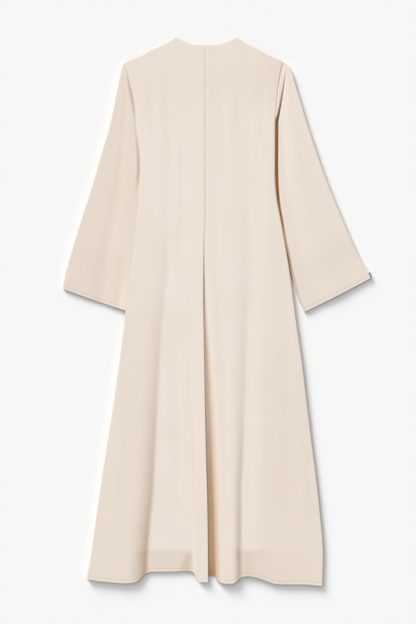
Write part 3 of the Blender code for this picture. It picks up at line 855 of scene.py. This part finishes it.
# Half of the gap between the two fronts, the fronts' place inside the side seams,
# the gap below the back panel's wall, and how far in the hem comes up to its level
FRONT_GAP = 0.15
FRONT_INSET = 0.2
SEAM_SPACE = 0.3
HEM_RISE_WIDTH = 150.0
# The left front lies over the tucked edge of the sleeve: how high, how far in it
# stays up, and how far in it comes down again
TUCK_LIFT = 4.4
TUCK_WIDTH = 28.0
TUCK_RUN = 34.0
TUCK_REACH = 14.0
tuck_lift = curve((380, 0.0), (450, TUCK_LIFT), (716, TUCK_LIFT), (780, 0.0))


def seam_up(side, down):
    """Height at which the back and the front meet at the side."""
    side_at = left_side if side == "left" else right_side
    return back_level(side, side_at(down), down) - side_dip(side, down, down) - WALL - SEAM_SPACE


def front_rows(side):
    """Rows of a front panel, from the side seam down to the table and on to the centre."""
    left = side == "left"
    sign = -1.0 if left else 1.0
    side_at = left_side if left else right_side
    hem = left_hem if left else right_hem
    tip = side_at(SHOULDER_DROP)
    hem_side_down = hem(side_at(HEM_LEVEL)) - 1.0
    longest = hem_side_down - SHOULDER_DROP
    rows = []
    for travelled in stations(longest, EDGE_STATIONS, HEM_STATIONS, FRONT_STEP):
        along = travelled / longest
        side_down = SHOULDER_DROP + travelled
        start = side_at(side_down) - sign * FRONT_INSET
        width = abs(start) - FRONT_GAP
        seam = seam_up(side, side_down)
        row = []
        for from_side in stations(width, EDGE_STATIONS, (0.0, FRONT_STEP), FRONT_STEP):
            share = from_side / width
            top = neck_or_shoulder(tip * (1.0 - share), FRONT_NECK_DROP)
            low = hem_side_down + (FRONT_HEM - hem_side_down) * rise(from_side, HEM_RISE_WIDTH)
            down = top + along * (low - top)
            base = FRONT_UP
            reach = RIGHT_ROLL
            tone = 0.0
            if left:
                lift = tuck_lift(down)
                base += lift * (1.0 - rise(from_side - TUCK_WIDTH, TUCK_RUN))
                reach += TUCK_REACH * lift / TUCK_LIFT
                # Painted shade on the left front's upright wall, which faces the light, so that less light
                # bounces onto the table
                tone = WALL_TONE * (1.0 - rise(from_side - 1.0, 5.0))
            up = base + (seam - base) * (1.0 - roll(from_side, reach))
            row.append((start - sign * from_side, down, up, tone))
        rows.append(row)
    return rows


for side, area in (("left", 0.30), ("right", 0.32)):
    panel = cloth_sheet("crepe_front_" + side, front_rows(side), inner_crepe, faces_up=False)
    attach(panel, "root")
    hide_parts("front_" + side)


# Sleeves
# Long flared sleeves, each cut in one piece, eased into the armhole and closed
# by an underarm seam. The left one is tucked a little way under the body; the
# right one falls into a deep crease beside it.
CAP_DOWN = 66.0
UNDERARM_DOWN = 350.0
ARMHOLE_SHARE = 0.45
SLEEVE_LENGTH = 655.0
SLEEVE_ROW_STEP = 5.45
CAP_STATIONS = (0.0, 1.0, 3.0)
# Columns of the back layer: close together beside the body and at the outer fold,
# closer still where the sleeve is narrow, and even between them
INNER_STATIONS = (0.0, 0.25, 0.8, 1.6, 2.4, 3.2, 4.0, 4.8, 5.6, 6.6, 7.6, 8.6, 9.8, 11.0, 12.4, 14.0, 15.6,
                  17.2, 19.0, 22.0)
INNER_SHARE = 0.55
OUTER_STATIONS = (0.0, 0.25, 0.8, 1.7, 3.0, 4.6, 7.0, 10.0)
OUTER_SHARE = 0.4
MIDDLE_COLUMNS = 26
TOP_POINTS = 53
# The front layer goes on round the outer fold and back along the table
FOLD_STATIONS = OUTER_STATIONS[1:6]
LOWER_COLUMNS = 12
# How far a seam stands in from the body's side, and how the rows bow towards the cuff
SLEEVE_INSET = 0.8
BOW = 1.8
# The back layer never lies lower than this. Its outer fold starts at one height,
# and the front layer's at another a little below
LEAST_UP = 1.75
OUTER_FOLD_UP = 5.5
LOWER_FOLD_UP = 5.2
# Towards the shoulder the cap is eased down into the seam
CAP_EASE = 0.4
CAP_ROLL = 4.0
# Outer and inner edges, as places across and down
LEFT_OUTER = ((-203, 63), (-208, 69), (-211, 77), (-215, 92), (-219, 110), (-229, 161), (-246, 237),
              (-262, 289), (-276, 340), (-308, 442), (-339, 543), (-354, 597), (-359, 621), (-361.5, 634),
              (-361.5, 643))
LEFT_INNER = ((-164, 350), (-158, 380), (-161, 430), (-168, 500), (-174, 560), (-180, 705))
RIGHT_OUTER = ((203, 63), (211, 70), (218, 78), (225, 92), (233, 122), (245, 161), (260, 212), (285, 288),
               (303, 340), (322, 390), (343.5, 442), (365, 493), (386, 540), (412, 588), (422.5, 604),
               (424.5, 615))
RIGHT_INNER = ((179.7, 350), (181.4, 390), (184.2, 416), (193.5, 467), (202.6, 518), (211.4, 563),
               (219.6, 606), (229.7, 638), (238, 664), (254.5, 702))
# Height of each sleeve's middle
left_crown = curve((66, 11.0), (140, 12.4), (350, 12.8), (560, 12.4), (640, 10.6), (705, 8.8))
right_crown = curve((66, 12.0), (140, 13.5), (350, 15.0), (560, 13.4), (640, 10.6), (705, 8.8))
# The crease beside the right armhole: distance from the seam, half width, depth
crease_at = curve((84, 15.0), (95, 17.0), (127, 17.0), (157, 14.5), (183, 11.0), (209, 7.0), (225, 4.8),
                  (390, 4.8), (441, 3.8), (467, 3.3), (518, 3.3), (560, 3.8), (595, 4.6), (680, 6.0))
crease_half = curve((84, 1.8), (127, 2.4), (157, 3.0), (183, 3.4), (225, 4.4), (390, 4.5), (441, 3.9),
                    (467, 4.0), (518, 4.6), (560, 4.6), (595, 4.2), (680, 3.0))
crease_deep = curve((90, 0.0), (104, 1.4), (127, 4.0), (157, 6.4), (183, 8.6), (209, 12.0), (225, 13.0),
                    (400, 13.0), (467, 7.4), (518, 4.0), (575, 5.0), (620, 3.6), (680, 1.0))


def path_at(points, share):
    """Point at a share of the length of a smooth path."""
    lengths = [0.0]
    for start, end in zip(points, points[1:]):
        lengths.append(lengths[-1] + math.dist(start, end))
    return tuple(curve(*[(length, point[i]) for length, point in zip(lengths, points)])(share * lengths[-1])
                 for i in range(2))


def between(start, end, share):
    """Place at a share of the way from one place to another."""
    return tuple(a + (b - a) * share for a, b in zip(start, end))


def inner_place(side, along):
    """Place on the sleeve's inner edge, which follows the armhole and then the underarm seam."""
    left = side == "left"
    if along > ARMHOLE_SHARE:
        underarm = LEFT_INNER if left else RIGHT_INNER
        return path_at(underarm, (along - ARMHOLE_SHARE) / (1.0 - ARMHOLE_SHARE))
    down = CAP_DOWN + (UNDERARM_DOWN - CAP_DOWN) * along / ARMHOLE_SHARE
    return (left_side(down) + SLEEVE_INSET if left else right_side(down) - SLEEVE_INSET, down)


def sleeve_columns(width):
    """Distances of the back layer's columns from the inner edge."""
    inner = [d * min(1.0, INNER_SHARE * width / INNER_STATIONS[-1]) for d in INNER_STATIONS]
    outer = [width - d * min(1.0, OUTER_SHARE * width / OUTER_STATIONS[-1]) for d in OUTER_STATIONS]
    first = inner[-1]
    last = outer[-1]
    middle = [first + (last - first) * i / MIDDLE_COLUMNS for i in range(1, MIDDLE_COLUMNS)]
    return inner + middle + outer[::-1]


# Left sleeve: its gap below the body's edge, its height and its hiding place where
# it is tucked in, the width over which it comes up again, which grows below the
# underarm, the long hollow down its middle, and its painted shade, an even touch
# over the whole sleeve and deeper in the dip beside the body
LEFT_GAP = 1.2
TUCKED_UP = 3.4
TUCKED_PAST = 1.0
EASE_WIDTH = 6.0
EASE_WIDTH_MORE = 14.0
LEFT_HOLLOW = 1.6
LEFT_HOLLOW_AT = 0.47
LEFT_HOLLOW_HALF = 0.11
LEFT_SLEEVE_TONE = 0.10
LEFT_DIP_TONE = 0.05
LEFT_DIP_LEAST = 0.9


def left_layer(inner, distance, width, along):
    """Height and painted shade of the left sleeve's back layer, which is tucked under the body."""
    down = inner[1]
    dip = left_dip(down)
    edge_up = left_level(down) - dip - LEFT_GAP
    below_arm = down - UNDERARM_DOWN
    hidden = abs(left_side(down) - inner[0]) + TUCKED_PAST if along > ARMHOLE_SHARE else 0.0
    tucked = (edge_up - TUCKED_UP) * rise(below_arm, 40.0)
    eased = rise(distance - hidden, EASE_WIDTH + dip + EASE_WIDTH_MORE * rise(below_arm, 120.0))
    hollow = math.exp(-((distance / width - LEFT_HOLLOW_AT) / LEFT_HOLLOW_HALF) ** 2)
    up = edge_up - tucked * (1.0 - rise(distance, max(hidden, 0.5)))
    up += (left_crown(down) - edge_up) * eased - LEFT_HOLLOW * along * hollow
    tone = LEFT_SLEEVE_TONE + LEFT_DIP_TONE * max(0.0, dip - LEFT_DIP_LEAST) * (1.0 - eased)
    return up, tone


# Right sleeve: its inner edge rolls down to the table, a little less beside the
# skirt. At the armhole it dips slightly. The wide part has a ridge down its middle
# and a hollow nearer the body. Its painted shade deepens along the inner edge, in
# the crease and beside the skirt
INNER_EDGE_UP = 3.5
INNER_EDGE_LIFT = 3.5
INNER_EDGE_ROLL = 2.4
ARMHOLE_DIP = 1.1
RIDGE = 1.4
RIDGE_AT = 0.50
RIDGE_HALF = 0.16
RIGHT_HOLLOW_AT = 0.22
RIGHT_HOLLOW_HALF = 0.09
WIDE_SLEEVE = 110.0
RIGHT_SLEEVE_TONE = 0.03
INNER_EDGE_TONE = 0.12
BESIDE_SKIRT_TONE = 0.2
CREASE_TONE = 0.075
CREASE_TONE_MORE = 0.05


def right_layer(inner, distance, width, along):
    """Height and painted shade of the right sleeve's back layer, with the crease beside the body."""
    down = inner[1]
    up = right_crown(down)
    tone = RIGHT_SLEEVE_TONE
    if along > ARMHOLE_SHARE:
        edge_up = INNER_EDGE_UP + INNER_EDGE_LIFT * bump_at(down, 525.0, 105.0)
        up -= (up - edge_up) * (1.0 - roll(distance, INNER_EDGE_ROLL))
        tone += INNER_EDGE_TONE * (1.0 - rise(distance, 3.5))
        beside_skirt = rise(down - 400.0, 60.0) * rise(640.0 - down, 80.0)
        tone += BESIDE_SKIRT_TONE * (1.0 - rise(distance, 12.0)) * beside_skirt
    else:
        up -= ARMHOLE_DIP * (1.0 - rise(distance, 3.0)) * rise(down - CAP_DOWN, 50.0)
    off = abs(distance - crease_at(down)) / crease_half(down)
    if distance < crease_at(down):
        # From the underarm down to the elbow, the crease takes in all of the cloth on its inner side
        off *= 1.0 - rise(down - 204.0, 18.0) * (1.0 - rise(down - 590.0, 60.0))
    crease = crease_deep(down) * (1.0 - rise(off - 0.5, 0.6))
    up -= crease
    tone += (CREASE_TONE + CREASE_TONE_MORE * rise(down - 430.0, 60.0)) * crease
    share = distance / width
    ridge = RIDGE * math.exp(-((share - RIDGE_AT) / RIDGE_HALF) ** 2)
    hollow = math.exp(-((share - RIGHT_HOLLOW_AT) / RIGHT_HOLLOW_HALF) ** 2)
    return up + min(1.0, width / WIDE_SLEEVE) ** 2 * (ridge - hollow), tone


def sleeve_rows(side):
    """Rings of points round the sleeve: back layer, outer fold, front layer, inner fold."""
    left = side == "left"
    sign = -1.0 if left else 1.0
    layer = left_layer if left else right_layer
    outer_roll = LEFT_ROLL if left else RIGHT_ROLL
    wall_tone = WALL_TONE if left else 0.0
    rows = []
    for travelled in stations(SLEEVE_LENGTH, CAP_STATIONS, HEM_STATIONS, SLEEVE_ROW_STEP):
        along = travelled / SLEEVE_LENGTH
        from_hem = SLEEVE_LENGTH - travelled
        below_arm = along > ARMHOLE_SHARE
        inner = inner_place(side, along)
        outer = path_at(LEFT_OUTER if left else RIGHT_OUTER, along)
        width = math.dist(inner, outer)
        row = []
        for distance in sleeve_columns(width):
            share = distance / width
            across, down = between(inner, outer, share)
            down += BOW * 4.0 * share * (1.0 - share) * (2.0 * along - 1.0)
            up, tone = layer(inner, distance, width, along)
            up = max(up, LEAST_UP)
            if up > OUTER_FOLD_UP:
                up -= (up - OUTER_FOLD_UP) * (1.0 - roll(width - distance, outer_roll))
            if not below_arm:
                up -= CAP_EASE * (1.0 - roll(travelled, CAP_ROLL)) * up
            up += hem_relief(from_hem) * min(1.0, 0.2 + 0.8 * rise(distance, 6.0))
            up -= HEM_TURN * (1.0 - roll(from_hem, HEM_ROLL))
            # Painted shade on the left sleeve's upright outer wall, which faces the light
            tone += wall_tone * (1.0 - rise(width - distance, WALL_TONE_WIDTH))
            row.append((across, down, up, tone))
        for from_outer in FOLD_STATIONS:
            share = max(0.0, 1.0 - from_outer / width)
            up = LOWER_FOLD_UP + (FRONT_UP - LOWER_FOLD_UP) * roll(from_outer, outer_roll)
            row.append((*between(inner, outer, share), up, wall_tone))
        for i in range(1, LOWER_COLUMNS):
            share = (1.0 - FOLD_STATIONS[-1] / width) * (1.0 - i / LOWER_COLUMNS)
            row.append((*between(inner, outer, share), FRONT_UP))
        if below_arm:
            # The underarm seam closes the ring: its low point, then its point beside the back layer
            row.append((inner[0] + sign * 1.2, inner[1], FRONT_UP + 0.3))
            row.append((inner[0] + sign * 0.2, inner[1], 1.6 if left else 3.0))
        rows.append(row)
    return rows


sleeve_crepe = crepe("cream_crepe_sleeve", "e6dcd1", "e1d6c8", 0.10)
LEFT_CUFF_STITCHED = (-356.0, -200.0)
RIGHT_CUFF_STITCHED = (258.0, 419.0)
for side, flat, area, stitched in (("left", (0.40, 0.68), 0.135, LEFT_CUFF_STITCHED),
                                   ("right", (0.42, 0.70), 0.155, RIGHT_CUFF_STITCHED)):
    rows = sleeve_rows(side)
    panel = cloth_sheet("crepe_sleeve_" + side, rows, sleeve_crepe, ring_length=len(rows[-1]))
    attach(panel, "root")
    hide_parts("sleeve_" + side)
    back_layer = [row[:TOP_POINTS] for row in rows]
    cuff_stitches = stitches("cuff_stitches_" + side, back_layer, *stitched)
    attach(cuff_stitches, "root")


# Cuff tab
# A small folded tab of ivory satin, caught in the outer corner of the right
# cuff and tacked down with two knots of dark thread.
# Its two ends on the cuff's edge, its sides in from that edge and out past it, and
# its height, which falls off on both sides of the middle
TAB_START = (418.6, 598.5)
TAB_END = (424.2, 612.5)
TAB_INNER = -3.4
TAB_OUTER = 3.6
TAB_CROWN = 10.4
TAB_FALL = 0.05
TAB_ROWS = 14
TAB_COLUMNS = 12
# Each knot's place along and out, and its half length and half width
KNOTS = ((5.6, -0.2, 2.3, 2.5), (11.6, 0.4, 3.2, 2.1))
# A knot's rings from its rim to its top: share of its size, and share of its height
KNOT_FORM = ((1.0, 0.0), (0.85, 0.6), (0.5, 0.9))
KNOT_HEIGHT = 0.5
KNOT_SIDES = 16


def tab_point(along, out, lift=0.0):
    """A point of the tab, from its place along the cuff's corner and out from its edge."""
    length = math.dist(TAB_START, TAB_END)
    forward = ((TAB_END[0] - TAB_START[0]) / length, (TAB_END[1] - TAB_START[1]) / length)
    across = TAB_START[0] + forward[0] * along + forward[1] * out
    down = TAB_START[1] + forward[1] * along - forward[0] * out
    return (across, down, TAB_CROWN - TAB_FALL * (out - TAB_INNER) ** 2 + lift)


# Satin's floats run one way, about 0.4 mm apart; its colour streaks along them as a painted sheen, and its
# low roughness gives it a soft shine
satin = streaked("ivory_satin_ribbon", "e9e0d3", "f1ebe1", "ShaderNodeTexNoise",
                 {"scale": 1.0, "detail": 1.0}, {"Roughness": 0.38, "Sheen Weight": 0.1},
                 stretch=(2400.0, 300.0, 300.0))
tab_length = math.dist(TAB_START, TAB_END)
tab_rows = [[tab_point(tab_length * k / TAB_ROWS, TAB_INNER + (TAB_OUTER - TAB_INNER) * i / TAB_COLUMNS)
             for i in range(TAB_COLUMNS + 1)] for k in range(TAB_ROWS + 1)]
tab = cloth_sheet("satin_cuff_tab", tab_rows, satin)
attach(tab, "root")
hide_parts("cuff_tab")

# Waxed thread, nearly black, wound into two small knots
dark_thread = streaked("black_waxed_thread", "080706", "14110f", "ShaderNodeTexWave",
                       {"scale": 500.0, "distortion": 2.0}, {"Roughness": 0.8, "Specular IOR Level": 0.2})

knot_mesh = bpy.data.meshes.new("tab_knots")
knots = bpy.data.objects.new("tab_knots", knot_mesh)
bpy.context.scene.collection.objects.link(knots)
shape = bmesh.new()
turns = [math.tau * k / KNOT_SIDES for k in range(KNOT_SIDES)]
for along, out, half_along, half_out in KNOTS:
    previous = None
    for share, height in KNOT_FORM:
        places = [(along + half_along * share * math.cos(turn), out + half_out * share * math.sin(turn))
                  for turn in turns]
        ring = [shape.verts.new(world(*tab_point(*place, KNOT_HEIGHT * height))) for place in places]
        if previous:
            for k in range(KNOT_SIDES):
                after = (k + 1) % KNOT_SIDES
                shape.faces.new((previous[k], previous[after], ring[after], ring[k])).smooth = True
        previous = ring
    shape.faces.new(previous)
bmesh.ops.recalc_face_normals(shape, faces=shape.faces)
shape.to_mesh(knot_mesh)
shape.free()
knot_mesh.materials.append(dark_thread)
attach(knots, "root")
